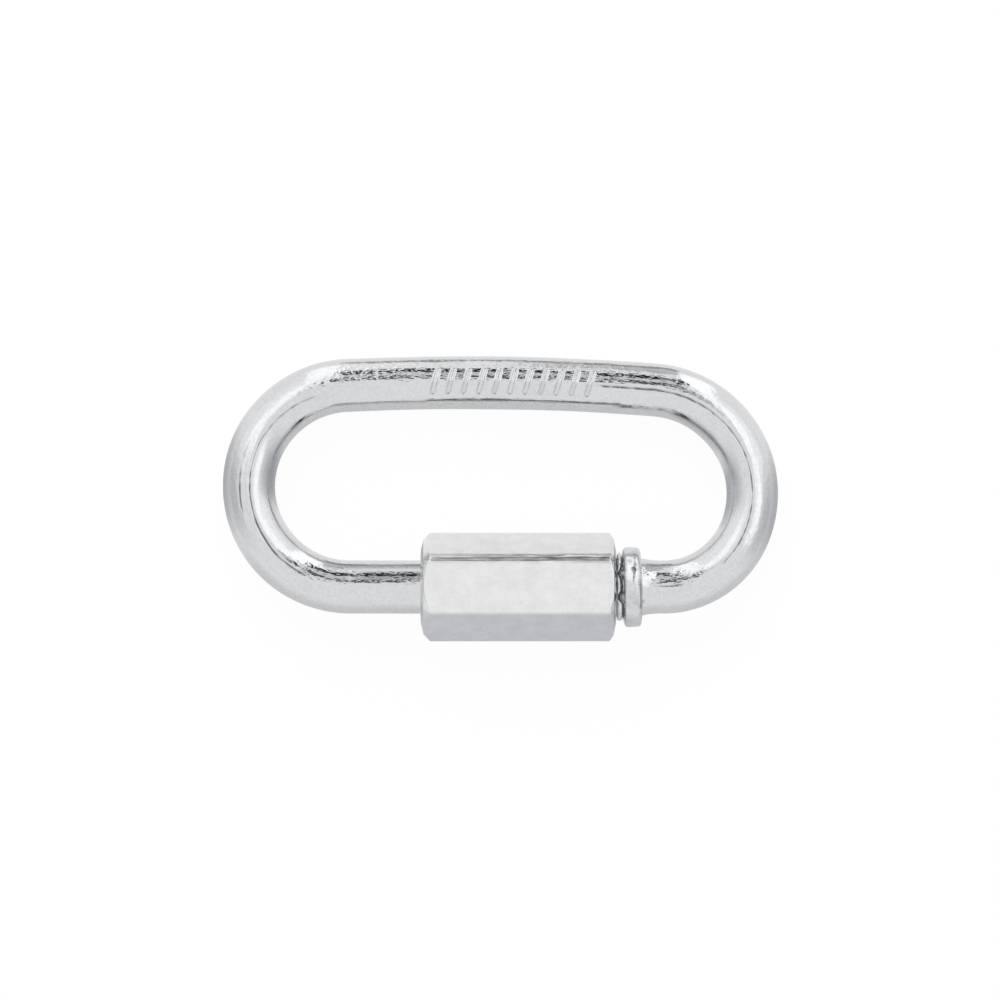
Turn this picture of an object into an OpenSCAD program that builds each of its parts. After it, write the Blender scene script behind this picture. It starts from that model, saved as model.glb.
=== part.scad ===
// Small screw-closed quick link: a bent steel rod and the long hexagonal sleeve nut that bridges its open side.
// Lengths are in millimetres. The link lies at rest, closed: +Z is up and the nut's axis runs along X.

/* [Ring] */
// Diameter of the round rod that the ring is bent from
rod_d = 3.5; // [3:0.1:4]
// Overall length of the link
link_length = 36.5; // [36:0.5:44]
// Clear width of the ring, from the near leg to the far leg at its crest
inner_width = 10; // [9:0.5:12]
// Rise of the far leg from its left end to its crest
bow_rise = 0.18; // [0.1:0.01:0.3]
// Length along the far leg from its left end to its crest
bow_crest = 7.5; // [6:0.5:9]
// How much larger the radius of the right bend's upper part is than the left bend's
right_swell = 0.2; // [0:0.02:0.4]
// Turn of the right bend's tighter lower part, in degrees
foot_turn = 65; // [55:1:80]

/* [Collar] */
// Diameter of the collar upset on the rod beside the right bend
collar_d = 5.32; // [5:0.05:6]
// Width of the collar along the rod
collar_w = 1.15; // [0.8:0.05:1.6]
// Radius of the collar's rounded crest, seen in section
collar_crest_r = 0.9; // [0.8:0.05:1.5]
// Straight rod between the collar and the right bend
collar_gap = 1.5; // [0.8:0.1:3]
// Width of the small flare at the collar's foot, on the bend's side
flare_w = 0.3; // [0.1:0.05:0.6]

/* [Threads] */
// Outer diameter of the thread on both upset rod ends
thread_d = 4.5; // [4.4:0.05:4.8]
// Pitch of the thread
thread_pitch = 0.75; // [0.5:0.05:0.8]
// Radial running clearance between the rod's thread and the nut's
thread_clearance = 0.05; // [0.02:0.01:0.1]
// Length of the threaded stub that stands out of the collar
stub_length = 2.25; // [1.5:0.05:3]
// Length of the thread on the longer rod end, inside the nut
long_thread = 5; // [4:0.1:6]
// Chamfer on the tips of both rod ends
tip_chamfer = 0.35; // [0.1:0.05:0.5]

/* [Sleeve nut] */
// Width across the flats
nut_af = 6.35; // [6:0.05:8]
// How far the rounded corners fall short of a sharp hexagon's
corner_trim = 0.1; // [0.02:0.01:0.2]
// Length of the nut
nut_length = 12.8; // [11:0.1:13]
// Gap between the closed nut and the collar
nut_gap = 0.48; // [0.1:0.02:0.8]
// Clearance between the closed nut and the thick neck at the collar's root
neck_clearance = 0.08; // [0.04:0.01:0.1]
// Whole turns of the nut from closed to open
open_turns = 8; // [5:1:8]
// Drop of each slightly coned end face, from its hole to its chamfer
end_drop = 0.17; // [0.05:0.01:0.3]
// Diameter of the left end face, inside its chamfer
mouth_face_d = 6.2; // [5.8:0.05:6.4]
// Length of the left end's chamfer along the nut
mouth_chamfer = 0.45; // [0.2:0.05:0.8]
// Diameter of the right end face, inside its chamfer
cap_face_d = 6.4; // [5.8:0.05:6.6]
// Length of the right end's chamfer along the nut
cap_chamfer = 0.25; // [0.1:0.05:0.6]
// Diameter of the plain counterbore in the left mouth, which clears the bend when the nut is open
mouth_bore_d = 4.7; // [4.6:0.05:5]
// Depth of that counterbore
mouth_bore_depth = 1.2; // [0.6:0.1:2]

/* [Hidden] */

// Smoothness of round sections, and of the bends that carry them
round_fn = 48;
bend_fn = 240;
// Overshoot of cuts past the surfaces that they open
cut = 0.1;
// Every second stretch of the ring is a hair slimmer and laps into its neighbours, so that no two share a skin
hair = 0.005;
lap = 0.02;

rod_r = rod_d / 2;
leg_spacing = inner_width + rod_d;

// The ring's centre line, in its own plane: the near leg lies on y = 0, and the crest of the far leg on y = leg_spacing.
// The left bend turns tangent into a shallow bow, the bow into the upper right bend, and that into the foot bend.
left_r = (leg_spacing - bow_rise) / 2;
left_x = rod_r + left_r - link_length / 2;
bow_r = left_r + (bow_crest ^ 2 + bow_rise ^ 2) / (2 * bow_rise);
bow_x = left_x + bow_crest;
upper_r = left_r + right_swell;
upper_x = link_length / 2 - rod_r - upper_r;
left_lean = asin(bow_crest / (bow_r - left_r));
right_lean = asin((upper_x - bow_x) / (bow_r - upper_r));
upper_y = leg_spacing - bow_r + (bow_r - upper_r) * cos(right_lean);
foot_r = (upper_y - upper_r * cos(foot_turn)) / (1 - cos(foot_turn));
foot_x = upper_x + (upper_r - foot_r) * sin(foot_turn);

// Places along the near leg, worked back from the foot bend
collar_x = foot_x - collar_gap - collar_w;
stub_tip_x = collar_x - stub_length;
nut_right_x = collar_x - nut_gap;
nut_left_x = nut_right_x - nut_length;
long_tip_x = nut_right_x - open_turns * thread_pitch;

// A thread is drawn as a plain cylinder at its mean flank radius, and its depth is that of a 60 degree thread
mean_thread_r = thread_d / 2 - thread_pitch * 3 / 8 * cos(30);
rod_thread_r = mean_thread_r - thread_clearance / 2;
nut_thread_r = mean_thread_r + thread_clearance / 2;
nut_corner_r = nut_af / 2 / cos(30) - corner_trim;

// At rest the nut lies on a flat and the ring leans over until its far leg touches down
rest_lean = asin((nut_af / 2 - rod_r) / leg_spacing);
far_y = leg_spacing * cos(rest_lean) + rod_r;
middle_y = (far_y - nut_corner_r) / 2;

// One bend of the ring about a centre, from one angle to another, slimmed and lapped by the given amounts
module bend(centre_x, centre_y, r, from, to, slim = 0, over = 0) {
    extra = over / r * 180 / PI;
    translate([centre_x, centre_y, 0])
        rotate([0, 0, from - extra])
            rotate_extrude(angle = to - from + 2 * extra, $fn = bend_fn)
                translate([r, 0])
                    circle(r = rod_r - slim, $fn = round_fn);
}

// A shape turned about the nut's axis: each point is a place along X and a radius
module turned(points) {
    rotate([0, 90, 0])
        rotate_extrude($fn = 2 * round_fn)
            polygon([for (p = points) [p[1], p[0]]]);
}

// Plain rod from the left bend, then the longer threaded end
module long_end() {
    root_x = long_tip_x - long_thread;
    turned([
        [left_x, 0],
        [left_x, rod_r],
        [root_x - (rod_thread_r - rod_r), rod_r],
        [root_x, rod_thread_r],
        [long_tip_x - tip_chamfer, rod_thread_r],
        [long_tip_x, rod_thread_r - tip_chamfer],
        [long_tip_x, 0],
    ]);
}

// Threaded stub and the neck at the collar's root, then plain rod from the collar to the foot bend
module stub_end() {
    turned([
        [stub_tip_x, 0],
        [stub_tip_x, rod_thread_r - tip_chamfer],
        [stub_tip_x + tip_chamfer, rod_thread_r],
        [nut_right_x + neck_clearance, rod_thread_r],
        [nut_right_x + neck_clearance, thread_d / 2],
        [collar_x + collar_w / 2, thread_d / 2],
        [collar_x + collar_w / 2, rod_r - hair + flare_w + collar_w / 2],
        [collar_x + collar_w + flare_w, rod_r - hair],
        [foot_x + lap, rod_r - hair],
        [foot_x + lap, 0],
    ]);
}

// Collar with a rounded crest and flat sides
module collar() {
    translate([collar_x, 0, 0])
        rotate([0, 90, 0])
            rotate_extrude($fn = 2 * round_fn)
                intersection() {
                    square([collar_d / 2, collar_w]);
                    translate([collar_d / 2 - collar_crest_r, collar_w / 2])
                        union() {
                            circle(r = collar_crest_r, $fn = round_fn);
                            translate([-collar_d, -collar_w])
                                square([collar_d, 2 * collar_w]);
                        }
                }
}

// Lays a piece down from the ring's own plane, turned about the nut's axis by the given lean
module at_rest(lean = 0) {
    translate([0, -middle_y, nut_af / 2])
        rotate([-lean, 0, 0])
            children();
}

// The bent rod, in one piece with its collar and its two threaded ends
module link_body() {
    color([0.78, 0.79, 0.81])
        at_rest(rest_lean) {
            bend(left_x, left_r, left_r, 90 + left_lean, 270, hair, lap);
            bend(bow_x, leg_spacing - bow_r, bow_r, 90 - right_lean, 90 + left_lean);
            bend(upper_x, upper_y, upper_r, foot_turn - 90, 90 - right_lean, hair, lap);
            bend(foot_x, foot_r, foot_r, -90, foot_turn - 90);
            long_end();
            stub_end();
            collar();
        }
}

// Hexagonal bar with its corners turned, and its ends chamfered and slightly coned
module nut_bar() {
    intersection() {
        translate([nut_left_x, 0, 0])
            rotate([0, 90, 0])
                rotate([0, 0, 30])
                    cylinder(d = nut_af / cos(30), h = nut_length, $fn = 6);
        turned([
            [nut_left_x, 0],
            [nut_left_x, mouth_bore_d / 2],
            [nut_left_x + end_drop, mouth_face_d / 2],
            [nut_left_x + end_drop + mouth_chamfer, nut_corner_r],
            [nut_right_x - end_drop - cap_chamfer, nut_corner_r],
            [nut_right_x - end_drop, cap_face_d / 2],
            [nut_right_x, thread_d / 2],
            [nut_right_x, 0],
        ]);
    }
}

// Long nut, threaded right through behind its plain mouth
module sleeve_nut() {
    sink = thread_d / 2 - nut_thread_r;
    color([0.84, 0.85, 0.86])
        at_rest()
            difference() {
                nut_bar();
                turned([
                    [nut_left_x - cut, 0],
                    [nut_left_x - cut, mouth_bore_d / 2],
                    [nut_left_x + mouth_bore_depth, mouth_bore_d / 2],
                    [nut_left_x + mouth_bore_depth, nut_thread_r],
                    [nut_right_x - sink, nut_thread_r],
                    [nut_right_x + cut, nut_thread_r + sink + cut],
                    [nut_right_x + cut, 0],
                ]);
            }
}

link_body();
sleeve_nut();
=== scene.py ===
import bpy
import numpy as np
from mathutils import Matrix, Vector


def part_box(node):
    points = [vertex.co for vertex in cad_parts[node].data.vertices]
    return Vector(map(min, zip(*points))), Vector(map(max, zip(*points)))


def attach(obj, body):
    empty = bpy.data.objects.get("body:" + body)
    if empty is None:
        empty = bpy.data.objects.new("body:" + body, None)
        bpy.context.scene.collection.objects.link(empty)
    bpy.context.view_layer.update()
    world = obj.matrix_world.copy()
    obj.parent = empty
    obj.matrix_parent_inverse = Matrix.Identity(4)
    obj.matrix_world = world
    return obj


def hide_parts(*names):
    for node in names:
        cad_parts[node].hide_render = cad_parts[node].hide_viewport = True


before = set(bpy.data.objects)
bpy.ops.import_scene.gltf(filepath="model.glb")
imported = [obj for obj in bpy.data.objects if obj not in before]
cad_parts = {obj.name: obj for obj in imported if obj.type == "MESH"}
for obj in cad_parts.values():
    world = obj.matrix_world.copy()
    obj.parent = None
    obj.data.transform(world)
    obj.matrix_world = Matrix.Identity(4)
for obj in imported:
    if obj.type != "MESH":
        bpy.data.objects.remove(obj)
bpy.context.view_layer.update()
mm = 0.001

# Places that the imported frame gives, in millimetres
ringLow, ringHigh = (np.array(corner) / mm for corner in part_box("link_body"))
nutLow, nutHigh = (np.array(corner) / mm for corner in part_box("sleeve_nut"))
nutAxisY = (nutLow[1] + nutHigh[1]) / 2
nutAxisZ = nutHigh[2] / 2  # the nut lies on one of its flats
nutCornerR = (nutHigh[1] - nutLow[1]) / 2

# One thread for both rod ends and the nut: a 60 degree profile of this diameter and pitch. Each cut says
# how far the crest stands over the mean flank and the root lies under it, as shares of the sharp height.
thread = {
    "diameter": 4.5,
    "pitch": 0.75,
    "clearance": 0.05,  # radial, between the rod's thread and the nut's
    "rodCut": (0.375, 0.3),
    "nutCut": (0.435, 0.25),
    "rodRows": 16,  # rows of points in each pitch
    "nutRows": 14,
}
sharpHeight = thread["pitch"] * np.cos(np.radians(30))
meanThreadR = thread["diameter"] / 2 - thread["rodCut"][0] * sharpHeight


# Radius of a right-hand thread: a triangle wave of the place along the axis less one pitch for each
# turn, cut off at the crest and at the root.
def threadRadius(x, turn, meanR, cut):
    crest, root = cut
    phase = (x / thread["pitch"] - turn / (2 * np.pi)) % 1
    wave = (1 - 4 * np.abs(phase - 0.5)) * sharpHeight / 2
    return meanR + np.clip(wave, -root * sharpHeight, crest * sharpHeight)


# 1 between low and high, falling to 0 over the edge's width on both sides by the cosine of the distance.
def window(value, low, high, edge):
    rise = np.clip((value - low) / edge + 0.5, 0, 1)
    fall = np.clip((high - value) / edge + 0.5, 0, 1)
    return (0.5 - 0.5 * np.cos(np.pi * rise)) * (0.5 - 0.5 * np.cos(np.pi * fall))


# Smooth unevenness, mostly between -1 and 1: a sum of sine waves with random directions and phases, where
# each axis is a pair of an array and the most waves in a unit of it.
def waves(count, seed, *axes):
    draw = np.random.default_rng(seed)
    total = 0
    for _ in range(count):
        phase = draw.uniform(0, 2 * np.pi)
        for values, most in axes:
            phase = phase + 2 * np.pi * draw.uniform(-most, most) * values
        total = total + np.sin(phase)
    return total / np.sqrt(count)


# The same along a piece and round it: the angle goes in as its cosine and sine, so that it closes. A
# pattern is the count and the seed, the most waves in a millimetre along, and the most round.
def wavesRound(pattern, along, angle):
    count, seed, most, mostRound = pattern
    return waves(count, seed, (along, most), (np.cos(angle), mostRound), (np.sin(angle), mostRound))


# A curve through the points, steps to each gap: between two of them a cubic leaves in the direction of
# the point before and arrives in the direction of the point after.
def smoothLine(points, steps):
    p = np.array(points, float)
    p = np.vstack([2 * p[0] - p[1], p, 2 * p[-1] - p[-2]])
    t = (np.arange(steps) / steps)[None, :, None]
    before, start, end, after = (p[i : len(p) - 3 + i, None, :] for i in range(4))
    curve = start + t / 2 * (end - before + t * (2 * before - 5 * start + 4 * end - after
                             + t * (3 * (start - end) + after - before)))
    return np.vstack([curve.reshape(-1, p.shape[1]), p[-2]])


# A closed surface from a grid of points, rows by columns: every row closes on itself. A ring's last row
# joins its first, and any other grid is closed by a pole in the middle of each end row.
def makeMesh(name, points, attributes, ring=False):
    rows, columns = points.shape[:2]
    corner = np.arange(rows * columns).reshape(rows, columns)
    below = corner if ring else corner[:-1]
    above = np.roll(corner, -1, axis=0) if ring else corner[1:]
    quads = np.stack([below, np.roll(below, -1, 1), np.roll(above, -1, 1), above], -1).reshape(-1, 4)
    places = points.reshape(-1, 3)
    values = {key: value.reshape(rows * columns, -1) for key, value in attributes.items()}
    triangles = np.zeros((0, 3), int)
    if not ring:
        first, last = corner[0], corner[-1]
        poles = rows * columns + np.arange(2)
        triangles = np.vstack([
            np.stack([np.roll(first, -1), first, np.full(columns, poles[0])], -1),
            np.stack([last, np.roll(last, -1), np.full(columns, poles[1])], -1),
        ])
        places = np.vstack([places, points[0].mean(0), points[-1].mean(0)])
        for key, value in values.items():
            values[key] = np.vstack([value, value[first].mean(0), value[last].mean(0)])
    fan = places[quads]
    pieces = np.vstack([fan[:, [0, 1, 2]], fan[:, [0, 2, 3]], places[triangles]])
    volume = np.einsum("ij,ij->i", pieces[:, 0], np.cross(pieces[:, 1], pieces[:, 2])).sum()
    if volume < 0:  # turned inside out
        quads, triangles = quads[:, ::-1], triangles[:, ::-1]
    mesh = bpy.data.meshes.new(name)
    mesh.from_pydata((places * mm).tolist(), [], quads.tolist() + triangles.tolist())
    mesh.polygons.foreach_set("use_smooth", np.ones(len(mesh.polygons), bool))
    for key, value in values.items():
        vector = value.shape[1] == 3
        layer = mesh.attributes.new(key, "FLOAT_VECTOR" if vector else "FLOAT", "POINT")
        layer.data.foreach_set("vector" if vector else "value", value.astype(np.float32).ravel())
    mesh.update()
    piece = bpy.data.objects.new(name, mesh)
    bpy.context.scene.collection.objects.link(piece)
    return piece


# The ring: one rod, bent, with its collar and its two threaded ends
ring = {
    "rodDiameter": 3.5,
    "innerWidth": 10.0,
    "bowRise": 0.18,  # of the far leg, from its left end to its crest
    "bowCrest": 7.5,
    "rightSwell": 0.2,  # how much larger the right bend's upper radius is than the left bend's
    "footTurn": 65,
    "stubLength": 2.25,
    "tipChamfer": 0.35,
    "longThread": 5.0,
    "openTurns": 8,
    # Degrees between the points of a section, from each angle up to the next: closest on the crown's marks
    "columns": [(62, 1.25), (112, 2), (144, 7), (422, None)],
    "rowStep": 0.125,
    "neckSteps": 3,
    "neckSpace": 0.6,  # share of a thread's row step that stays free before the neck
}
rodR = ring["rodDiameter"] / 2
legSpacing = ring["innerWidth"] + ring["rodDiameter"]
lean = np.arcsin((nutAxisZ - rodR) / legSpacing)

allRound = (-100, 280, 1)  # a window of side angles that leaves none out

# The collar beside the right bend. Places along it count from its left side. Each stretch, and each
# range of side angles from the crown with outwards positive, is a window: low, high and edge.
collar = {
    "diameter": 5.32,
    "width": 1.15,
    "gap": 1.5,  # of plain rod between it and the bend
    "skew": 0.05,  # how far its near side is pushed towards the bend
    "lumped": (0.05, 1.1, 0.15),
    "lumps": 0.03,
    "lumpWaves": (20, 5, 1.0, 1.7),
    "blotches": 0.16,
    "blotchWaves": (24, 6, 1.2, 3.5),
    "blotched": (0.4, 0.6),  # share of their grime that is even, and how uneven the rest is
    "beside": (1.3, 2.6, 0.5),
    "besideLumps": 0.009,
    "besideWaves": (20, 8, 0.8, 1.6),
    "beaded": (-0.36, -0.1, 0.1),
    "beads": 0.03,
    "beadWaves": (20, 9, 1.5, 4),
    # Dents on it and a lump beside it: place along it, angle round it, depth, size and how much darker
    "dents": [
        (0.66, 112, 0.01, 0.13, 0.8), (0.28, 122, 0.05, 0.3, 0), (0.68, 146, 0.01, 0.13, 0.6),
        (0.7, 100, 0, 0.09, 0.5), (0.5, 70, 0.03, 0.35, 0), (1.55, 113, -0.03, 0.4, 0),
        (1.13, 55, 0.02, 0.17, 0.9), (0.6, 74, 0, 0.22, 0.2), (0.75, 62, 0, 0.22, 0.26),
    ],
    # Darker in the crevice, at the collar's root and along its right foot: stretch, sides and strength
    "darkness": [
        ((-0.09, 0.01, 0.05), allRound, 0.75),
        ((0.02, 0.1, 0.06), allRound, 0.35),
        ((1.04, 1.13, 0.05), (-4, 36, 14), 0.6),
    ],
}


# The centre line in the ring's own plane, from the stub's tip round to the long end's tip: straights
# along the near leg, and tangent arcs, each with its centre, radius and the angles that it runs between.
def ringStretches():
    halfLength = (ringHigh[0] - ringLow[0]) / 2
    rise, crest = ring["bowRise"], ring["bowCrest"]
    leftR = (legSpacing - rise) / 2
    leftX = rodR + leftR - halfLength
    bowR = leftR + (crest**2 + rise**2) / (2 * rise)
    bowX = leftX + crest
    upperR = leftR + ring["rightSwell"]
    upperX = halfLength - rodR - upperR
    leftLean = np.arcsin(crest / (bowR - leftR))
    rightLean = np.arcsin((upperX - bowX) / (bowR - upperR))
    upperY = legSpacing - bowR + (bowR - upperR) * np.cos(rightLean)
    footTurn = np.radians(ring["footTurn"])
    footR = (upperY - upperR * np.cos(footTurn)) / (1 - np.cos(footTurn))
    footX = upperX + (upperR - footR) * np.sin(footTurn)
    quarter = np.pi / 2
    arcs = [
        ((footX, footR), footR, -quarter, footTurn - quarter),
        ((upperX, upperY), upperR, footTurn - quarter, quarter - rightLean),
        ((bowX, legSpacing - bowR), bowR, quarter - rightLean, quarter + leftLean),
        ((leftX, leftR), leftR, quarter + leftLean, 3 * quarter),
    ]
    return footX, leftX, arcs


footX, leftX, arcs = ringStretches()
collarX = footX - collar["gap"] - collar["width"]
stubTipX = collarX - ring["stubLength"]
longTipX = nutHigh[0] - ring["openTurns"] * thread["pitch"]
arcLengths = [radius * (to - start) for _, radius, start, to in arcs]
arcStarts = footX - stubTipX + np.concatenate([[0], np.cumsum(arcLengths)])
ringLength = arcStarts[-1] + longTipX - leftX


# Place, outward angle and place along the near leg at each length s of the centre line: a straight moves
# its start along X, and an arc turns its radius about its centre.
def alongRing(s):
    x = np.where(s < arcStarts[0], stubTipX + s, leftX + s - arcStarts[-1])
    place = np.stack([x, np.zeros_like(s)], -1)
    angle = np.where(s < arcStarts[0], -np.pi / 2, 1.5 * np.pi)
    for (centre, radius, start, _), low, high in zip(arcs, arcStarts, arcStarts[1:]):
        here = (s >= low) & (s < high)
        turned = start + (s - low) / radius
        arc = np.array(centre) + radius * np.stack([np.cos(turned), np.sin(turned)], -1)
        place = np.where(here[:, None], arc, place)
        angle = np.where(here, turned, angle)
    return place, angle, x


# The neck and the collar in section: place along X from the collar's left side, radius, and how far the
# point follows the crevice's wandering and the collar's skew
neckProfile = [
    (-0.43, 1.90, 0.0, 0.0),
    (-0.40, 2.12, 0.09, 0.0),
    (-0.32, 2.23, 0.32, 0.0),
    (-0.18, 2.24, 0.74, 0.3),
    (-0.09, 2.17, 1.0, 0.6),
    (-0.055, 2.03, 1.0, 0.8),
    (-0.02, 2.05, 1.0, 0.8),
    (0.01, 2.2, 0.9, 1.0),
    (0.03, 2.42, 0.2, 1.0),
    (0.09, 2.57, 0.0, 1.0),
    (0.21, 2.635, 0.0, 1.0),
    (0.45, 2.655, 0.0, 1.0),
    (0.75, 2.655, 0.0, 1.0),
    (0.96, 2.62, 0.0, 1.0),
    (1.09, 2.52, 0.0, 1.0),
    (1.15, 2.32, 0.0, 1.0),
    (1.165, 2.1, 0.0, 1.0),
    (1.18, 1.93, 0.0, 0.9),
    (1.23, 1.89, 0.0, 0.7),
    (1.3, 1.875, 0.0, 0.4),
    (1.6, 1.82, 0.0, 0.1),
    (2.0, 1.775, 0.0, 0.0),
    (2.3, 1.755, 0.0, 0.0),
    (2.8, 1.75, 0.0, 0.0),
]

# The crevice between the run-out of the thread and the collar: angle round the rod, and how far it
# wanders off the collar towards the nut. It makes two sharp beaks on the upper side, and past the last
# angle it stays as it is.
creviceWander = [
    (62, 0.27), (68, 0.31), (71, 0.31), (74, 0.24), (78, 0.15), (86, 0.12), (96, 0.14), (102, 0.21),
    (106, 0.29), (109, 0.31), (112, 0.28), (116, 0.19), (122, 0.1), (132, 0.05), (160, 0.03),
    (200, 0.06), (222, 0.24), (238, 0.08), (270, 0.03), (300, 0.12), (318, 0.26), (330, 0.1),
    (360, 0.04),
]

# A plain ornament on the far leg: a row of slanted raised bars. Places are along X, and sides are side
# angles.
bars = {
    "count": 11,
    "fromX": -4.3,
    "toX": 5.84,
    "sides": (-34, 20),
    "slant": 0.42,  # how far each bar's outer end stands to the right of its inner end
    "width": 0.25,
    "edge": 0.19,
    "innerFade": 0.3,  # part of its half length over which a bar sinks away at its inner end
    "height": 0.08,
    "worn": 0.15,
    "foot": 0.3,  # painted shade at the foot of the bars: how dark the plate is there
    "margin": 0.5,  # of the row of bars, past the middles of the first and the last
    "reach": 1,  # how far along the rod past that margin a bar may still stand
    "rowStep": 0.055,
    "rowWindow": (0.6, 0.4),  # how far past the margin the rows lie close, and how fast that fades
}
(crestX, _), crestR, crestFrom, _ = arcs[2]
barEnds = np.array([bars["toX"] + bars["margin"], bars["fromX"] - bars["margin"]])
barAngles = np.pi / 2 - np.arcsin((barEnds - crestX) / crestR)
barStart, barEnd = arcStarts[2] + crestR * (barAngles - crestFrom)


# How high the ornament stands at each place: for every bar, full height within half its width of the
# line from its inner end to its outer end, falling off over the edge's width. Each bar is worn a little
# differently, by the sine of its number.
def barHeight(x, side):
    across = np.radians(side) * rodR
    low, high = (np.radians(value) * rodR for value in bars["sides"])
    middleAcross = (low + high) / 2
    run = np.array([bars["slant"] / 2, (high - low) / 2])
    height = 0 * across
    for number, middle in enumerate(np.linspace(bars["fromX"], bars["toX"], bars["count"])):
        share = ((x - middle) * run[0] + (across - middleAcross) * run[1]) / (run @ run)
        share = np.clip(share, -1, 1)
        away = np.hypot(x - middle - share * run[0], across - middleAcross - share * run[1])
        worn = 1 - bars["worn"] + bars["worn"] * np.sin(2.4 * number + 1)
        rise = np.clip((bars["width"] / 2 - away) / bars["edge"] + 0.5, 0, 1)
        rise = rise * np.clip((share + 1) / bars["innerFade"], 0, 1)
        height = np.maximum(height, worn * rise * rise * (3 - 2 * rise))
    return bars["height"] * height


# The lengths s at which the rod has a row, and how far each row follows the crevice and the skew. Rows
# lie close together on the threads, the neck and the collar, and on the plain rod their number up to any
# place is the sum of one over the step, which is shorter under the ornament.
def ringRows():
    neck = smoothLine(neckProfile, ring["neckSteps"])
    neckStart = collarX - stubTipX + neck[0, 0]
    neckEnd = collarX - stubTipX + neck[-1, 0]
    threadStep = thread["pitch"] / thread["rodRows"]
    stub = np.arange(0, neckStart - ring["neckSpace"] * threadStep, threadStep)
    longRoot = ringLength - ring["longThread"] - thread["pitch"]
    samples = 4000
    at = neckEnd + (longRoot - neckEnd) * np.linspace(0, 1, samples)
    past, fade = bars["rowWindow"]
    close = window(at, barStart - past, barEnd + past, fade)
    step = ring["rowStep"] + (bars["rowStep"] - ring["rowStep"]) * close
    passed = np.cumsum(1 / step)
    count = int(passed[-1] * (at[1] - at[0]))
    plain = np.interp(np.linspace(passed[0], passed[-1], count + 1), passed, at)[1:]
    long = np.linspace(longRoot, ringLength, int((ringLength - longRoot) / threadStep) + 1)[1:]
    s = np.concatenate([stub, collarX - stubTipX + neck[:, 0], plain, long])
    follow = np.zeros((len(s), 2))
    follow[len(stub) : len(stub) + len(neck)] = neck[:, 2:]
    profile = np.full(len(s), rodR)
    profile[len(stub) : len(stub) + len(neck)] = neck[:, 1]
    return s, profile, follow


# Wear along the rod. Sides and degrees are windows: of side angles, and of the outward angle of the
# centre line.
wear = {
    "from": 4.2,  # length from the stub's tip at which it begins
    "past": 3,  # how far past the left bend it goes on
    "fade": 0.8,
    "waviness": 0.014,
    "unevenWaves": (24, 11, 0.16, 0.7),
    "smoothSides": (-80, -38, 24),  # where the rod is less wavy, and by how much
    "smoother": 0.75,
    "grooveDepth": 0.034,
    "grooveLimit": 1.3,
    "grooveShade": 0.9,
    "grooveJitter": 0.008,
    "jitterWaves": (12, 31, 0.6),  # count, seed of the first crease, and the most in a millimetre
    "ragged": (0.9, 0.45),  # share of a crease's depth that is even, and how uneven the rest is
    "raggedWaves": (16, 21, 1.4),
    "raggedLimits": (0.5, 1.5),
    "pressed": [((-30, 30, 50), 0.1), ((150, 210, 50), 0.05)],  # flat inner sides: degrees and depth
    "stripSides": (2, 21, 6),  # the hollow strip between the two creases of the left bend
    "stripDegrees": (150, 205, 20),
    "stripDepth": 0.03,
    # Painted shade on the rod beside the nut, over its dark streak: window along X, sides and strength
    "nutStreakShade": ((-9.2, -5, 1.2), (-31, -11, 5), 0.45),
    # Where the plate is grainiest: on the crown of the legs, and outside the bends
    "grainyLegs": [(56, 114, 20), (232, 280, 22), (-100, -62, 20)],
    "grainyCrown": (-40, 44, 18),
    "grainyOutside": (4, 60, 16),
    "outsideShare": 0.6,
    "leastGrainy": 0.12,
}
# Creases from bending, with painted shade in them. Each runs between two outward angles of the centre
# line:
# angle, side angle, width and depth at some of them
creases = [
    [(108, -17, 0.06, 0.0), (116, -16, 0.06, 0.5), (126, -13, 0.055, 0.6), (143, -9, 0.05, 0.6),
     (156, -6, 0.045, 0.7), (171, -4, 0.045, 1.0), (190, -2.5, 0.045, 1.5), (205, -1, 0.055, 2.4),
     (221, 1, 0.06, 2.2), (232, 1.5, 0.06, 1.6), (241, 1, 0.06, 0.9), (249, 0, 0.06, 0.0)],
    [(156, 15, 0.04, 0.0), (163, 17, 0.04, 0.4), (173, 18.5, 0.045, 0.7), (186, 20, 0.05, 1.4),
     (192, 20.5, 0.05, 1.2), (198, 20, 0.045, 0.0)],
    [(-50, 3, 0.045, 0.0), (-44, 2, 0.05, 1.2), (-25, 1, 0.05, 1.3), (0, -1, 0.04, 1.0),
     (20, -2.5, 0.045, 1.2), (33, -4, 0.05, 1.1), (52, -6.5, 0.05, 1.0), (60, -7.5, 0.055, 1.2),
     (72, -8, 0.06, 1.2), (84, -7.7, 0.06, 1.0), (86.7, -6, 0.06, 0.9), (87, -6, 0.06, 0.0)],
    [(-90, 3, 0.045, 0.3), (-89, 3, 0.045, 1.0), (-84, 3, 0.05, 1.1), (-79, 3, 0.05, 0.8),
     (-76, 3, 0.05, 0.0)],
]
# Soft bands of painted shade down the inner side, in the same way: angle, side angle, width and strength
shadeBands = [
    [(2, -42, 0.3, 0.0), (12, -45, 0.3, 0.35), (30, -50, 0.3, 0.45), (55, -56, 0.3, 0.5),
     (66, -57, 0.3, 0.4), (78, -56, 0.3, 0.0)],
    [(124, -52, 0.2, 0.0), (132, -53, 0.24, 0.45), (158, -53, 0.26, 0.4), (178, -52, 0.4, 0.35),
     (187, -50, 0.4, 0.3), (194, -47, 0.14, 0.2), (226, -47, 0.14, 0.2), (234, -47, 0.14, 0.0)],
    [(260, -40, 0.13, 0.0), (267, -40, 0.13, 0.35), (270, -40, 0.13, 0.35)],
]


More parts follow.
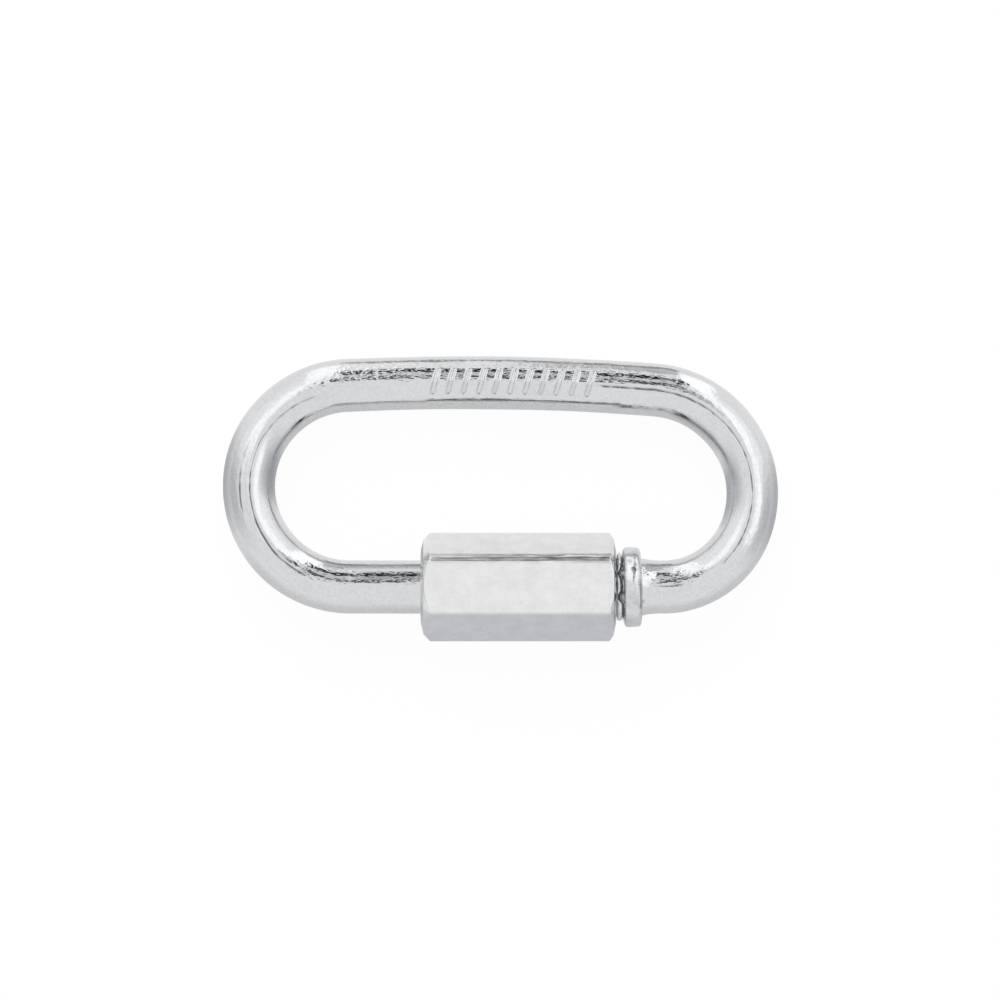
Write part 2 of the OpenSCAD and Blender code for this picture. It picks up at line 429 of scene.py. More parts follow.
# The rod's grid, with a row at each length s and a column at each angle round the section. The side angle
# is the angle from the crown, outwards, and degrees is the outward angle of the centre line.
def ringGrid(s):
    columns = ring["columns"]
    theta = np.radians(np.concatenate([
        np.linspace(low, high, round((high - low) / step), endpoint=False)
        for (low, step), (high, _) in zip(columns, columns[1:])
    ]))[None, :]
    place, angle, x = alongRing(s)
    s, x, angle = s[:, None], x[:, None], angle[:, None]
    return {
        "s": s,
        "x": x,
        "fromCollar": x - collarX,
        "place": place[:, None, :],
        "angle": angle,
        "degrees": np.degrees(angle),
        "theta": theta,
        "side": 90 - (np.degrees(theta) + 180) % 360 + 180,
        "onStub": s < arcStarts[0],
        "onLong": s > arcStarts[-1],
        "wearing": window(s, wear["from"], arcStarts[-1] + wear["past"], wear["fade"]),
    }


# Threads on both ends: the same helix as the nut's, faded into the plain rod over one pitch, and cut by
# the chamfered tips, whose radius grows as fast as the distance from the tip.
def cutThreads(grid, radius):
    s, onStub = grid["s"], grid["onStub"]
    turn = np.pi - grid["theta"] - lean
    meanR = meanThreadR - thread["clearance"] / 2
    threadR = threadRadius(grid["x"], turn, meanR, thread["rodCut"])
    fromTip = np.where(onStub, s, ringLength - s)
    tipR = meanThreadR - ring["tipChamfer"] + fromTip
    stubEnd = collarX - stubTipX + neckProfile[0][0]
    threaded = np.clip((ring["longThread"] - fromTip) / thread["pitch"] + 1, 0, 1)
    longR = rodR + (threadR - rodR) * threaded
    radius = np.where(onStub & (s < stubEnd), np.minimum(threadR, tipR), radius)
    return np.where(grid["onLong"], np.minimum(longR, tipR), radius)


# The collar's marks: blunt lumps and blotches from upsetting, lumps beside it and beads on the run-out of
# the thread, all from waves, then dents that fall off by the exponential of the squared distance.
def markCollar(grid, radius):
    x, theta = grid["x"], grid["theta"]
    along, onStub = grid["fromCollar"], grid["onStub"]
    onCollar = window(along, *collar["lumped"]) * onStub
    lumps = wavesRound(collar["lumpWaves"], x, theta)
    radius = radius - onCollar * collar["lumps"] * (1 + lumps)
    even, rest = collar["blotched"]
    blotches = np.clip(even + rest * wavesRound(collar["blotchWaves"], x, theta), 0, 1)
    grimeAndShade = onCollar * collar["blotches"] * blotches
    beside = window(along, *collar["beside"]) * onStub
    besideLumps = wavesRound(collar["besideWaves"], x, theta)
    radius = radius - beside * collar["besideLumps"] * (1 + besideLumps)
    beaded = window(along, *collar["beaded"]) * onStub
    beads = wavesRound(collar["beadWaves"], x, theta)
    radius = radius - beaded * collar["beads"] * (1 + beads)
    for place, around, depth, size, darkness in collar["dents"]:
        turned = (theta - np.radians(around) + np.pi) % (2 * np.pi) - np.pi
        distance = np.hypot(along - place, turned * collar["diameter"] / 2)
        dent = np.exp(-((distance / size) ** 2)) * onStub
        radius = radius - depth * dent
        # Darker at each dent by its own amount
        grimeAndShade = np.maximum(grimeAndShade, darkness * dent)
    return radius, grimeAndShade


# Distance round the rod from a line that is given by its side angle at some outward angles, and the
# line's other values there.
def fromLine(grid, line):
    at, sides, *others = zip(*line)
    across = np.radians(grid["side"] - np.interp(grid["degrees"], at, sides)) * rodR
    return across, *(np.interp(grid["degrees"], at, values) for values in others)


# Wear along the rod: shallow unevenness, slow along it and round it; creases, uneven in depth and not
# quite straight, with painted shade in them, and soft bands of painted shade, both falling off by the
# exponential of the squared distance; an inner side pressed a little flat, by the fourth power of the
# cosine; and a strip hollowed by a sine.
def markBends(grid, radius, grimeAndShade):
    s, side, degrees, wearing = (grid[key] for key in ("s", "side", "degrees", "wearing"))
    uneven = wavesRound(wear["unevenWaves"], s, grid["theta"])
    smoother = 1 - wear["smoother"] * window(side, *wear["smoothSides"])
    radius = radius - wearing * wear["waviness"] * smoother * np.maximum(1 + uneven, 0) / 2

    even, rest = wear["ragged"]
    count, seed, most = wear["raggedWaves"]
    ragged = np.clip(even + rest * waves(count, seed, (s, most)), *wear["raggedLimits"])
    count, seed, most = wear["jitterWaves"]
    for number, crease in enumerate(creases):
        across, width, depth = fromLine(grid, crease)
        across = across + wear["grooveJitter"] * waves(count, seed + number, (s, most))
        groove = np.exp(-((across / width) ** 2)) * (depth * wearing * ragged)
        radius = radius - wear["grooveDepth"] * np.minimum(groove, wear["grooveLimit"])
        # Painted shade in the crease: the plate darkens as deep as the groove
        grimeAndShade = np.maximum(grimeAndShade, wear["grooveShade"] * groove)
    # Bands of painted shade down the inner side
    for shadeBand in shadeBands:
        across, width, strength = fromLine(grid, shadeBand)
        grimeAndShade = np.maximum(grimeAndShade, strength * np.exp(-((across / width) ** 2)))

    pressed = sum(depth * window(degrees, *where) for where, depth in wear["pressed"])
    radius = radius - pressed * np.clip(-np.cos(grid["theta"]), 0, 1) ** 4
    low, high, _ = wear["stripSides"]
    strip = window(side, *wear["stripSides"]) * window(degrees, *wear["stripDegrees"]) * wearing
    hollow = np.sin(np.radians(np.clip(side - low, 0, high - low) / (high - low) * 180))
    return radius - wear["stripDepth"] * strip * hollow, grimeAndShade


# Darkening beside the collar, and painted shade beside the nut, each within its windows.
def darkenBeside(grid, grimeAndShade):
    side = grid["side"]
    nearCollar = sum(
        strength * window(grid["fromCollar"], *along) * window(side, *sides)
        for along, sides, strength in collar["darkness"]
    )
    # Painted shade: darker over the rod's dark streak just left of the nut
    along, sides, strength = wear["nutStreakShade"]
    nearNut = strength * window(grid["x"], *along) * window(side, *sides)
    darkness = nearCollar * grid["onStub"] + nearNut * grid["onLong"]
    return np.clip(np.maximum(grimeAndShade, darkness), 0, 1)


# The rod as one mesh: each row is a section, its radius read from the profile, the threads and the marks,
# and set out from the centre line in the plane of its outward direction and the ring's normal.
def buildRing():
    s, profile, follow = ringRows()
    grid = ringGrid(s)
    s, side, theta, angle = (grid[key] for key in ("s", "side", "theta", "angle"))
    radius = cutThreads(grid, profile[:, None] + 0 * theta)
    radius, grimeAndShade = markCollar(grid, radius)
    radius, grimeAndShade = markBends(grid, radius, grimeAndShade)
    grimeAndShade = darkenBeside(grid, grimeAndShade)
    shift = np.interp(np.degrees(theta), *zip(*creviceWander)) * -follow[:, :1]
    shift = shift + collar["skew"] * np.cos(theta) * follow[:, 1:]

    # The ornament stands on top of all this, with painted shade at its foot: a share of its height times
    # the square of the rest of it, which is 1 / 6.75 at most
    underBars = (s > barStart - bars["reach"]) * (s < barEnd + bars["reach"])
    raised = barHeight(grid["place"][..., 0], side) * underBars
    radius = radius + raised
    share = raised / bars["height"]
    # Painted shade at the foot of each bar
    grimeAndShade = np.maximum(grimeAndShade, bars["foot"] * 6.75 * share * np.clip(1 - share, 0, 1) ** 2)

    # Out from the centre line, then over by the lean and down to where the ring rests
    outward = np.stack([np.cos(angle), np.sin(angle)], -1)
    along = np.stack([-np.sin(angle), np.cos(angle)], -1)
    out, up = radius * np.cos(theta), radius * np.sin(theta)
    flat = grid["place"] + out[..., None] * outward + shift[..., None] * along
    points = np.stack([
        flat[..., 0],
        nutAxisY + flat[..., 1] * np.cos(lean) + up * np.sin(lean),
        nutAxisZ - flat[..., 1] * np.sin(lean) + up * np.cos(lean),
    ], -1)
    drawn = np.stack([s + 0 * theta, out, up], -1)

    legs = sum(window(grid["degrees"], *leg) for leg in wear["grainyLegs"])
    grainy = np.clip(legs, 0, 1) * window(side, *wear["grainyCrown"])
    grainy = wear["leastGrainy"] + (1 - wear["leastGrainy"]) * grainy
    outside = wear["outsideShare"] * window(side, *wear["grainyOutside"]) * grid["wearing"]
    grainy = np.maximum(grainy, outside)
    return makeMesh("ring_rod", points, {"drawn": drawn, "grimeAndShade": grimeAndShade, "grainy": grainy})


# The sleeve nut: hexagonal bar with turned ends, threaded right through behind a plain mouth. Its mouth
# is the left end, and its cap the right one, beside the collar.
nut = {
    "endDrop": 0.17,
    "mouthFaceR": 3.1,
    "mouthChamfer": 0.45,
    "capFaceR": 3.2,
    "capChamfer": 0.25,
    "capBoreR": 2.31,  # of the countersink, just clear of the rod's thread
    "mouthBoreR": 2.35,
    "mouthBoreDepth": 1.2,
    "boreLead": 0.05,  # the bore's edge starts this far inside the end, and this much under its radius
    "boreFlare": 0.04,
    "leastChamfer": (0.03, 0.02),  # how broad and how deep the chamfer is where a flat cuts it off
    "flankStart": 0.5,
    "threadStart": 0.08,
    "wallBevel": (0.05, 0.02),  # how long and how deep it is, between the wall and the mouth's bore
    "mouthStart": 0.15,
    "edgeRound": 0.07,
    "flatStep": 2.5,  # degrees between the points of a section
    "gather": 0.115,  # radians by which the points draw together on the round corners
    "flankRows": 40,
    "roundRows": 5,
    "crown": 0.006,
    "crownWaves": (12, 3, 0.09, 0.8),
    "wornTo": 1.4,  # half widths of a round corner from its middle to where its wear ends
    "tilt": 4,  # degrees by which the nut is turned with the leaning ring, out of lying flat
    # Degrees round the bar, from the ring's side over the top, of the most rubbed corner, which also has
    # painted shade, and of the face with painted shade, as windows
    "rubbedShadedCorner": (40, 80, 10),
    "rubbedShadedAlong": (0.75, 0.06),  # how rubbed and shaded it is in the middle, and how much more each mm to the right
    "shadedFace": (121, 179, 3),
    "endFade": 0.04,
}


# Radius of a hexagon with round corners: the flat's distance over the cosine of the angle from its
# middle, and past the flat's end the far crossing of the ray with the corner's circle. Also how worn the
# point is: 1 in the corner's middle, and 0 on the flats.
def hexRadius(turn):
    flat = nutAxisZ
    sharp = flat / np.cos(np.radians(30))
    cornerR = (sharp - nutCornerR) / (1 / np.cos(np.radians(30)) - 1)
    centre = (flat - cornerR) / np.cos(np.radians(30))
    fromFlat = np.abs((turn - np.pi / 2 + np.pi / 6) % (np.pi / 3) - np.pi / 6)
    fromCorner = np.pi / 6 - fromFlat
    onFlat = flat / np.cos(fromFlat)
    chord = np.maximum(cornerR**2 - (centre * np.sin(fromCorner)) ** 2, 0)  # a flat's rays miss the circle
    onCorner = centre * np.cos(fromCorner) + np.sqrt(chord)
    flatEnd = np.arctan((flat - cornerR) * np.tan(np.radians(30)) / flat)
    worn = np.clip(nut["wornTo"] - fromCorner / (np.pi / 6 - flatEnd), 0, 1)
    return np.where(fromFlat < flatEnd, onFlat, onCorner), worn


# Rows along a profile of corner points, for every angle at once: each inner corner becomes a short
# quadratic curve that starts and ends the cut's distance from it, or nearly halfway along a shorter side.
def roundedRows(points):
    cut, most = nut["edgeRound"], 0.45
    rows = [points[0]]
    for before, here, after in zip(points, points[1:], points[2:]):
        back, on = before - here, after - here
        backLength = np.linalg.norm(back, axis=0)
        onLength = np.linalg.norm(on, axis=0)
        start = here + back / backLength * np.minimum(cut, most * backLength)
        end = here + on / onLength * np.minimum(cut, most * onLength)
        for t in np.linspace(0, 1, nut["roundRows"]):
            rows.append((1 - t) ** 2 * start + 2 * t * (1 - t) * here + t**2 * end)
    rows.append(points[-1])
    return np.array(rows)


# One end, from the bore out to the flank: a slightly coned face, then a chamfer that the flat or corner
# of the bar cuts off.
def nutEnd(turn, endX, inward, faceR, chamfer, boreR):
    bar, _ = hexRadius(turn)
    breadth, depth = nut["leastChamfer"]
    slope = chamfer / (nutCornerR - faceR)
    edgeR = np.minimum(faceR, bar - breadth)
    edgeX = nut["endDrop"] * (edgeR - boreR) / (faceR - boreR)
    barX = np.where(bar > faceR, nut["endDrop"] + slope * (bar - faceR), edgeX + depth)
    x = [0 * bar + nut["boreLead"], 0 * bar, edgeX, barX, barX + nut["flankStart"]]
    r = [0 * bar + boreR - nut["boreLead"], 0 * bar + boreR + nut["boreFlare"], edgeR, bar, bar]
    return roundedRows(np.stack([endX + inward * np.array(x), np.array(r)], 1))


# The way back inside: the thread from the right end to the wall behind the plain mouth, opened at its
# start by the countersink, then the wall and the mouth's bore.
def nutInside(turn, tilt):
    wall, mouthR = nutLow[0] + nut["mouthBoreDepth"], nut["mouthBoreR"]
    step = thread["pitch"] / thread["nutRows"]
    x = np.arange(nutHigh[0] - nut["threadStart"], wall, -step)[:, None] + 0 * turn
    meanR = meanThreadR + thread["clearance"] / 2
    threadR = threadRadius(x, turn[None, :] - tilt, meanR, thread["nutCut"])
    sink = nut["capBoreR"] - nut["boreLead"] - (nutHigh[0] - nut["boreLead"] - x)
    threaded = np.stack([x, np.maximum(threadR, sink)], 1)
    last = threaded[-1, 1]
    bevelLength, bevelDepth = nut["wallBevel"]
    stops = [
        (wall, last),
        (wall, (last + mouthR) / 2),
        (wall, mouthR - bevelDepth),
        (wall - bevelLength, mouthR),
        ((wall + nutLow[0]) / 2, mouthR),
        (nutLow[0] + nut["mouthStart"], mouthR),
    ]
    bore = [np.stack([0 * turn + x, 0 * turn + r]) for x, r in stops]
    return np.concatenate([threaded, bore])


# The nut as one mesh that closes both ways: every column is a profile at one angle, out over the left
# end, along the flank, over the right end and back through the thread.
def buildNut():
    # Columns lie closer together on the round corners, by a sine that bends their even spacing
    even = np.linspace(0, 2 * np.pi, int(360 / nut["flatStep"]) * 2, endpoint=False)
    turn = even - nut["gather"] * np.sin(6 * even)
    tilt = np.radians(nut["tilt"])
    left = nutEnd(turn, nutLow[0], 1, nut["mouthFaceR"], nut["mouthChamfer"], nut["mouthBoreR"])
    right = nutEnd(turn, nutHigh[0], -1, nut["capFaceR"], nut["capChamfer"], nut["capBoreR"])[::-1]
    share = np.linspace(0, 1, nut["flankRows"])[1:-1, None, None]
    flank = left[-1] + (right[0] - left[-1]) * share
    rows = np.concatenate([left, flank, right, nutInside(turn, tilt)])
    x, r = rows[:, 0], rows[:, 1]
    outside = np.zeros(len(rows))[:, None]
    outside[: len(left) + len(flank) + len(right)] = 1
    dip = 1 + wavesRound(nut["crownWaves"], x, turn[None, :])
    r = r - nut["crown"] * outside * np.clip(dip / 2, 0, 1)

    # Turned a little, and pressed by a hair so that it stays within its height
    up = r * np.sin(turn - tilt)
    up = up * (1 + (nutAxisZ / np.abs(up).max() - 1) * outside)
    points = np.stack([x, nutAxisY + r * np.cos(turn - tilt), nutAxisZ + up], -1)

    worn = hexRadius(turn)[1][None, :] * outside
    degrees = np.degrees(turn)[None, :]
    middle, rise = nut["rubbedShadedAlong"]
    # Rubbed wear on the upper corner towards +Y, which also carries painted shade
    rubbedAndShaded = window(degrees, *nut["rubbedShadedCorner"]) * worn * np.clip(middle + rise * x, 0, 1)
    # Painted shade: the face that slopes towards −Y and both cut ends are made darker
    faces = window(x, nutLow[0] + nut["endDrop"], nutHigh[0] - nut["endDrop"], nut["endFade"])
    paintedShade = np.maximum(window(degrees, *nut["shadedFace"]) * outside, 1 - faces)
    return makeMesh("hex_nut", points, {"worn": worn, "rubbedAndShaded": rubbedAndShaded, "paintedShade": paintedShade}, ring=True)


# A shader node: settings are its properties, and inputs its sockets, each given a value or another
# node's output.
def addNode(tree, kind, inputs=None, **settings):
    made = tree.nodes.new(kind)
    for key, value in settings.items():
        setattr(made, key, value)
    for key, value in (inputs or {}).items():
        if isinstance(value, bpy.types.NodeSocket):
            tree.links.new(value, made.inputs[key])
        else:
            made.inputs[key].default_value = value
    return made


# One of the mesh's own attributes, as a number or as a vector.
def readAttribute(tree, name, kind="Fac"):
    return addNode(tree, "ShaderNodeAttribute", attribute_name=name).outputs[kind]


# A place with its X shrunk to a share of itself, so that a pattern on it is drawn out along X.
def drawnOut(tree, place, share):
    return addNode(tree, "ShaderNodeMapping", {"Vector": place, "Scale": (share, 1, 1)}).outputs[0]


# Fractal noise, given as its scale, detail and roughness.
def noise(tree, place, pattern):
    scale, detail, roughness = pattern
    return addNode(tree, "ShaderNodeTexNoise",
                   {"Vector": place, "Scale": scale, "Detail": detail, "Roughness": roughness}).outputs[0]


# A value between two limits made one between two others, in a straight line or by a smooth step.
def remap(tree, value, limits, made, interpolation="LINEAR"):
    return addNode(tree, "ShaderNodeMapRange",
                   {"Value": value, "From Min": limits[0], "From Max": limits[1],
                    "To Min": made[0], "To Max": made[1]},
                   interpolation_type=interpolation).outputs[0]


# One, two or three values through a Math node.
def calculate(tree, operation, *values):
    return addNode(tree, "ShaderNodeMath", dict(enumerate(values)), operation=operation).outputs[0]


# A mix of two colours by a factor.
def mixColours(tree, factor, first, second):
    return addNode(tree, "ShaderNodeMix", {"Factor": factor, "A": first, "B": second},
                   data_type="RGBA").outputs["Result"]


# A colour made darker or lighter by a number.
def scaleColour(tree, colour, share):
    return addNode(tree, "ShaderNodeVectorMath", {0: colour, "Scale": share},
                   operation="SCALE").outputs[0]


# A new material with an empty tree.
def newMaterial(name):
    material = bpy.data.materials.new(name)
    material.use_nodes = True
    tree = material.node_tree
    tree.nodes.clear()
    return material, tree


# The metal's shader and the material's output.
def finishMetal(tree, colour, rough, normal):
    shader = addNode(tree, "ShaderNodeBsdfPrincipled",
                     {"Base Color": colour, "Metallic": 1, "Roughness": rough, "Normal": normal})
    addNode(tree, "ShaderNodeOutputMaterial", {"Surface": shader.outputs[0]})


# Bright zinc plate on the rod. Each pattern is a noise's scale in waves per millimetre, its detail and
# its roughness, and relief is in metres.
zincRod = {
    "colour": (0.761, 0.765, 0.775, 1),
    "shade": (0.691, 0.695, 0.705, 1),
    "grimeAndShadeColour": (0.16, 0.17, 0.18, 1),
    "roughness": (0.06, 0.12),
    "grain": (5.6, 1.2, 0.5),
    "grainDrawn": 0.45,  # share of its waves that the grain has along the rod
    "grainRelief": 0.000027,
    "regions": (0.3, 1, 0.5),
    "regionSpread": (0.4, 0.6),
    "regionStrength": (0.7, 1),  # of the grain, from region to region
    "drawLines": (5.0, 3, 0.6),
    "linesDrawn": 0.05,
    "drawRelief": 0.00001,
    "cloud": (0.9, 3, 0.5),
    "speckle": (5.0, 2, 0.7),
    "speckleShade": (1.06, 0.94),
    "spread": (0.3, 0.7),  # between which values a noise mostly lies
}


# Plated drawn rod: grain in three dimensions on the straightened rod's own coordinates, drawn out along
# it, over finer draw lines. Clouds change the colour and the roughness, and grime with painted shade
# darkens both.
def buildZincRod():
    material, tree = newMaterial("bright_zinc_rod")
    drawn = readAttribute(tree, "drawn", "Vector")
    lines = noise(tree, drawnOut(tree, drawn, zincRod["linesDrawn"]), zincRod["drawLines"])
    lineBump = addNode(tree, "ShaderNodeBump", {"Height": lines, "Distance": zincRod["drawRelief"]})
    grain = noise(tree, drawnOut(tree, drawn, zincRod["grainDrawn"]), zincRod["grain"])
    region = noise(tree, drawn, zincRod["regions"])
    strength = remap(tree, region, zincRod["regionSpread"], zincRod["regionStrength"])
    strength = calculate(tree, "MULTIPLY", strength, readAttribute(tree, "grainy"))
    bump = addNode(tree, "ShaderNodeBump",
                   {"Strength": strength, "Height": grain, "Distance": zincRod["grainRelief"],
                    "Normal": lineBump.outputs[0]})
    cloud = noise(tree, drawn, zincRod["cloud"])
    rough = remap(tree, cloud, zincRod["spread"], zincRod["roughness"])
    plate = mixColours(tree, cloud, zincRod["colour"], zincRod["shade"])
    speckle = noise(tree, drawn, zincRod["speckle"])
    shaded = remap(tree, speckle, zincRod["spread"], zincRod["speckleShade"])
    speckled = scaleColour(tree, plate, shaded)
    # The grime-and-shade attribute darkens the plate towards dark grey. It holds real blotches on the
    # collar, darker spots and a darker crevice round the collar, and painted shade in the creases, down
    # the inner side, at the foot of the bars and over the dark streak beside the nut.
    colour = mixColours(tree, readAttribute(tree, "grimeAndShade"), speckled, zincRod["grimeAndShadeColour"])
    finishMetal(tree, colour, rough, bump.outputs[0])
    return material


# Bright zinc plate on the nut, in the same way, but with scales in waves per metre
zincNut = {
    "colour": (1.0, 1.0, 1.0, 1),
    "shade": (0.69, 0.69, 0.69, 1),
    "paintedShade": (0.806, 0.812, 0.836),  # share of that colour on the face and the cut ends with painted shade
    "roughness": (0.12, 0.16),
    "cornerRoughness": 0.06,
    "cornerShade": (0.3, 0.95),  # darkest and lightest share of it on the rubbed corner: wear and painted shade
    "scratches": (9000, 3, 0.6),
    "scratchSpread": (0.44, 0.58),
    "scratchesDrawn": 0.06,
    "cloud": (900, 5, 0.8),
    "spread": (0.3, 0.7),
    "grain": (2200, 3, 0.55),
    "grainDrawn": 0.35,
    "grainRelief": 0.000006,
}


# Plated cold-drawn hexagon bar, smoother than the rod: fine grain on Object coordinates, drawn out along
# X, with clouds in colour and roughness, scratches along the rubbed corner, and painted shade there, on
# one face and on the cut ends.
def buildZincNut():
    material, tree = newMaterial("bright_zinc_nut")
    place = addNode(tree, "ShaderNodeTexCoord").outputs["Object"]
    grain = noise(tree, drawnOut(tree, place, zincNut["grainDrawn"]), zincNut["grain"])
    bump = addNode(tree, "ShaderNodeBump", {"Height": grain, "Distance": zincNut["grainRelief"]})
    cloud = noise(tree, place, zincNut["cloud"])
    rough = remap(tree, cloud, zincNut["spread"], zincNut["roughness"])
    worn = readAttribute(tree, "worn")
    rough = calculate(tree, "MULTIPLY_ADD", worn, zincNut["cornerRoughness"], rough)
    plate = mixColours(tree, cloud, zincNut["colour"], zincNut["shade"])
    # Painted shade on that face and on the cut ends
    shadedPlate = addNode(tree, "ShaderNodeVectorMath", {0: plate, 1: zincNut["paintedShade"]}, operation="MULTIPLY")
    plateWithShade = mixColours(tree, readAttribute(tree, "paintedShade"), plate, shadedPlate.outputs[0])
    scratch = noise(tree, drawnOut(tree, place, zincNut["scratchesDrawn"]), zincNut["scratches"])
    # Scratched streaks darken the rubbed corner: wear, and painted shade
    scratched = remap(tree, scratch, zincNut["scratchSpread"], zincNut["cornerShade"])
    rubbedAndShaded = readAttribute(tree, "rubbedAndShaded")
    shade = addNode(tree, "ShaderNodeMix", {"Factor": rubbedAndShaded, "A": 1, "B": scratched}).outputs[0]
    finishMetal(tree, scaleColour(tree, plateWithShade, shade), rough, bump.outputs[0])
    return material


# The studio as the metal sees it: a level for the open light, then patches that lie over one another.
# Each is within a spread on both sides of a bearing, counted from +X towards +Y, and between two angles
# from straight up. Soft is the width of its edges up and down, and blend that of its sides.
studio = {
    "open": 0.92,
    "patches": [
        # bearing, spread, from, to, soft, blend, level
        (-90, 62, 92, 190, 36, 30, 0.66),
        (-5, 19, 54, 190, 50, 30, 0.6),
        (176, 19, 50, 190, 56, 30, 0.6),
        (-5, 19, 105, 190, 40, 30, 0.42),
        (176, 19, 110, 190, 40, 30, 0.42),
        (90, 50, 92, 190, 10, 14, 0.9),
        (38, 18, 40, 74, 20, 16, 1.1),
        (22, 28, 23, 44, 12, 14, 1.28),
        (53, 14, 26, 54, 10, 10, 1.3),
        (67, 8.5, 46, 104, 14, 5, 1.4),
        (134, 22, 44, 80, 24, 14, 1.03),
        (124, 20, 22, 48, 14, 18, 1.28),
        (102.5, 8, 44, 104, 14, 4, 1.3),
        (85, 10, 62, 108, 8, 3, 0.98),
        (81.5, 6.5, 80, 110, 8, 3, 0.52),
        (85, 10, 106, 118, 4, 3, 0.16),
        (84, 12, 20, 62, 5, 5, 0.74),
        (70, 7, 22, 32, 5, 5, 0.5),
        (88.5, 12.5, 21, 32, 4, 5, 0.06),
        (84.5, 12, 48, 62, 4, 5, 0.0),
    ],
    "tint": (0.94, 1.0, 1.06, 1),  # of the darkest parts, and none of the brightest
    "tinted": (0.1, 0.9),
}
white = (1, 1, 1, 1)


# 0 before an angle and 1 past it, or the other way about, by a smooth step of the given width.
def angleStep(tree, angle, edge, width, rising):
    limits = np.radians(edge - width / 2), np.radians(edge + width / 2)
    return remap(tree, angle, limits, (0, 1) if rising else (1, 0), "SMOOTHSTEP")


# World light by direction: the angle from straight up and the angle from a patch's bearing are each the
# arc cosine of a dot product, and a patch fades in by smooth steps of both. The camera itself sees plain
# white.
def buildStudio():
    world = bpy.data.worlds.new("studio")
    bpy.context.scene.world = world
    world.use_nodes = True
    tree = world.node_tree
    tree.nodes.clear()

    def between(first, second):
        dot = addNode(tree, "ShaderNodeVectorMath", {0: first, 1: second}, operation="DOT_PRODUCT")
        return calculate(tree, "ARCCOSINE", dot.outputs["Value"])

    direction = addNode(tree, "ShaderNodeTexCoord").outputs["Generated"]
    fromUp = between(direction, (0, 0, 1))
    across = addNode(tree, "ShaderNodeVectorMath", {0: direction, 1: (1, 1, 0)}, operation="MULTIPLY")
    heading = addNode(tree, "ShaderNodeVectorMath", {0: across.outputs[0]}, operation="NORMALIZE")
    light = addNode(tree, "ShaderNodeValue").outputs[0]
    light.default_value = studio["open"]
    for bearing, spread, low, high, soft, blend, level in studio["patches"]:
        bearing = np.radians(bearing)
        off = between(heading.outputs[0], (np.cos(bearing), np.sin(bearing), 0))
        inside = angleStep(tree, off, spread, blend, False)
        inside = calculate(tree, "MULTIPLY", inside, angleStep(tree, fromUp, low, soft, True))
        inside = calculate(tree, "MULTIPLY", inside, angleStep(tree, fromUp, high, soft, False))
        light = addNode(tree, "ShaderNodeMix", {"Factor": inside, "A": light, "B": level}).outputs[0]
    bright = remap(tree, light, studio["tinted"], (0, 1))
    tinted = scaleColour(tree, mixColours(tree, bright, studio["tint"], white), light)
    seen = addNode(tree, "ShaderNodeLightPath").outputs["Is Camera Ray"]
    colour = mixColours(tree, seen, tinted, white)
    back = addNode(tree, "ShaderNodeBackground", {"Color": colour, "Strength": 1})
    addNode(tree, "ShaderNodeOutputWorld", {"Surface": back.outputs[0]})


floor = {
    "half": 0.8,
    "colour": (0.86, 0.86, 0.86, 1),
    "plain": 0.95,  # share of plain white in it that the camera sees
    "mirrored": 0.15,  # share of plain white in it that reflections see
    "through": 0.8,  # share of it that reflections see through
    "below": 0.00001,
}


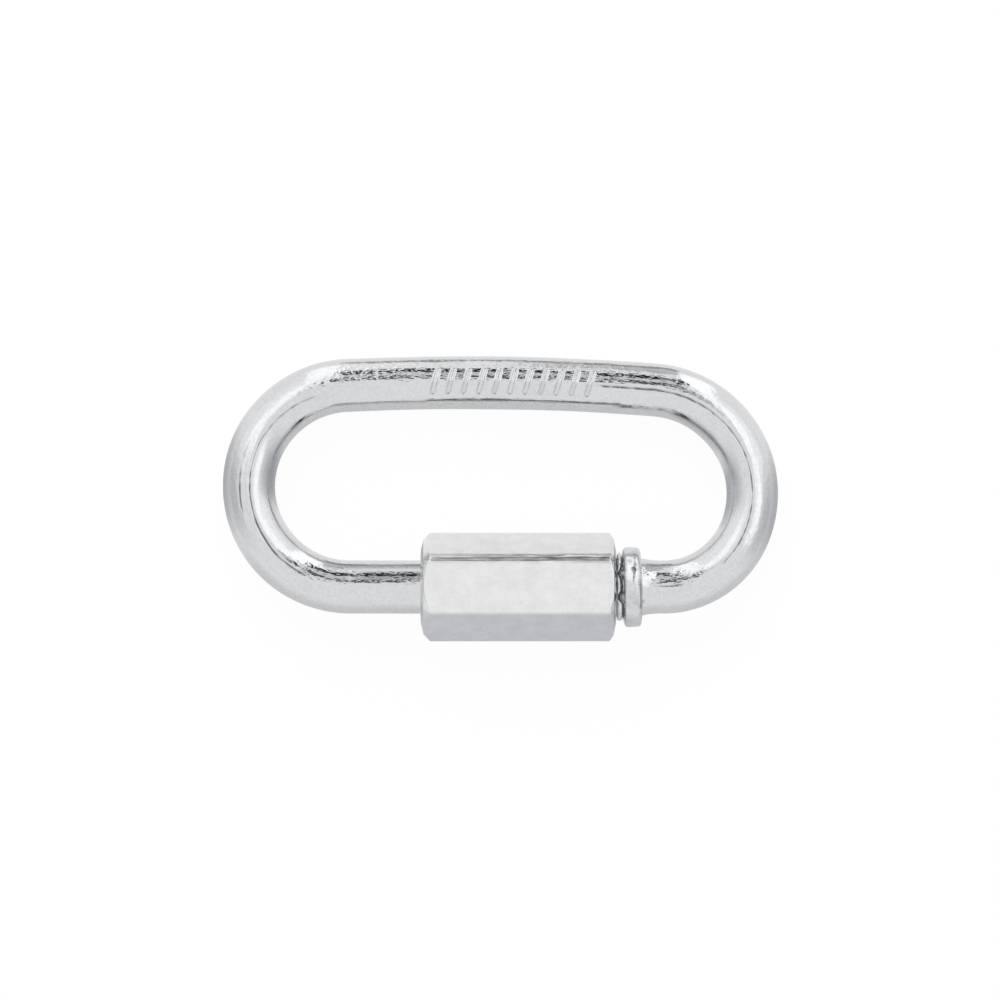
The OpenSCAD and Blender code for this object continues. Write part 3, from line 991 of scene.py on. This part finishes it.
# A plain pale floor: it shades as it is lit, and towards the camera and in reflections part of it is
# plain white.
def buildFloor():
    h, z = floor["half"], -floor["below"]
    mesh = bpy.data.meshes.new("floor")
    mesh.from_pydata([(-h, -h, z), (h, -h, z), (h, h, z), (-h, h, z)], [], [(0, 1, 2, 3)])
    piece = bpy.data.objects.new("floor", mesh)
    bpy.context.scene.collection.objects.link(piece)
    material, tree = newMaterial("floor_white")
    rays = addNode(tree, "ShaderNodeLightPath").outputs
    mirrored = calculate(tree, "MAXIMUM", rays["Is Glossy Ray"], rays["Is Transmission Ray"])
    part = calculate(tree, "MULTIPLY", mirrored, floor["mirrored"])
    share = calculate(tree, "MULTIPLY_ADD", rays["Is Camera Ray"], floor["plain"], part)
    lit = addNode(tree, "ShaderNodeBsdfDiffuse", {"Color": floor["colour"]})
    plain = addNode(tree, "ShaderNodeEmission", {"Color": white, "Strength": 1})
    pale = addNode(tree, "ShaderNodeMixShader", {0: share, 1: lit.outputs[0], 2: plain.outputs[0]})
    clear = addNode(tree, "ShaderNodeBsdfTransparent")
    through = calculate(tree, "MULTIPLY", mirrored, floor["through"])
    mix = addNode(tree, "ShaderNodeMixShader", {0: through, 1: pale.outputs[0], 2: clear.outputs[0]})
    addNode(tree, "ShaderNodeOutputMaterial", {"Surface": mix.outputs[0]})
    mesh.materials.append(material)


# Straight down, with a long lens. Scale is in pixels of the picture for a millimetre, at the given
# height.
camera = {
    "lens": 200,
    "sensor": 36,
    "pictureWidth": 1000,
    "scale": 15.23,
    "atHeight": 2.6,
    "x": -0.027,
    "y": -0.102,
    "clip": (0.01, 10),
}


# The camera's height is that at which the picture's width spans the sensor's width through the lens.
def buildCamera():
    data = bpy.data.cameras.new("camera")
    data.lens, data.sensor_width = camera["lens"], camera["sensor"]
    data.clip_start, data.clip_end = camera["clip"]
    distance = camera["pictureWidth"] / camera["scale"] * camera["lens"] / camera["sensor"]
    view = bpy.data.objects.new("camera", data)
    view.location = (camera["x"] * mm, camera["y"] * mm, (camera["atHeight"] + distance) * mm)
    bpy.context.scene.collection.objects.link(view)
    bpy.context.scene.camera = view


# A large soft lamp low on the +Y side, which gives the shadows their direction
key = {"place": (-0.06, 0.32, 0.26), "size": 0.3, "watts": 1.2}


# An area lamp turned so that its beam runs from its place to the origin.
def buildKey():
    data = bpy.data.lights.new("key", "AREA")
    data.shape, data.size, data.energy = "SQUARE", key["size"], key["watts"]
    lamp = bpy.data.objects.new("key", data)
    lamp.location = key["place"]
    lamp.rotation_euler = (-lamp.location).to_track_quat("-Z", "Y").to_euler()
    lamp.visible_camera = False
    lamp.visible_glossy = False
    bpy.context.scene.collection.objects.link(lamp)


buildCamera()
buildStudio()
buildFloor()
buildKey()
print("stage: camera, studio, floor and lamp")

rodPiece = buildRing()
rodPiece.data.materials.append(buildZincRod())
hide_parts("link_body")
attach(rodPiece, "link_body")
print("ring:", len(rodPiece.data.polygons), "faces")

nutPiece = buildNut()
nutPiece.data.materials.append(buildZincNut())
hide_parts("sleeve_nut")
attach(nutPiece, "sleeve_nut")
print("nut:", len(nutPiece.data.polygons), "faces")

bpy.context.scene.view_settings.view_transform = "Standard"
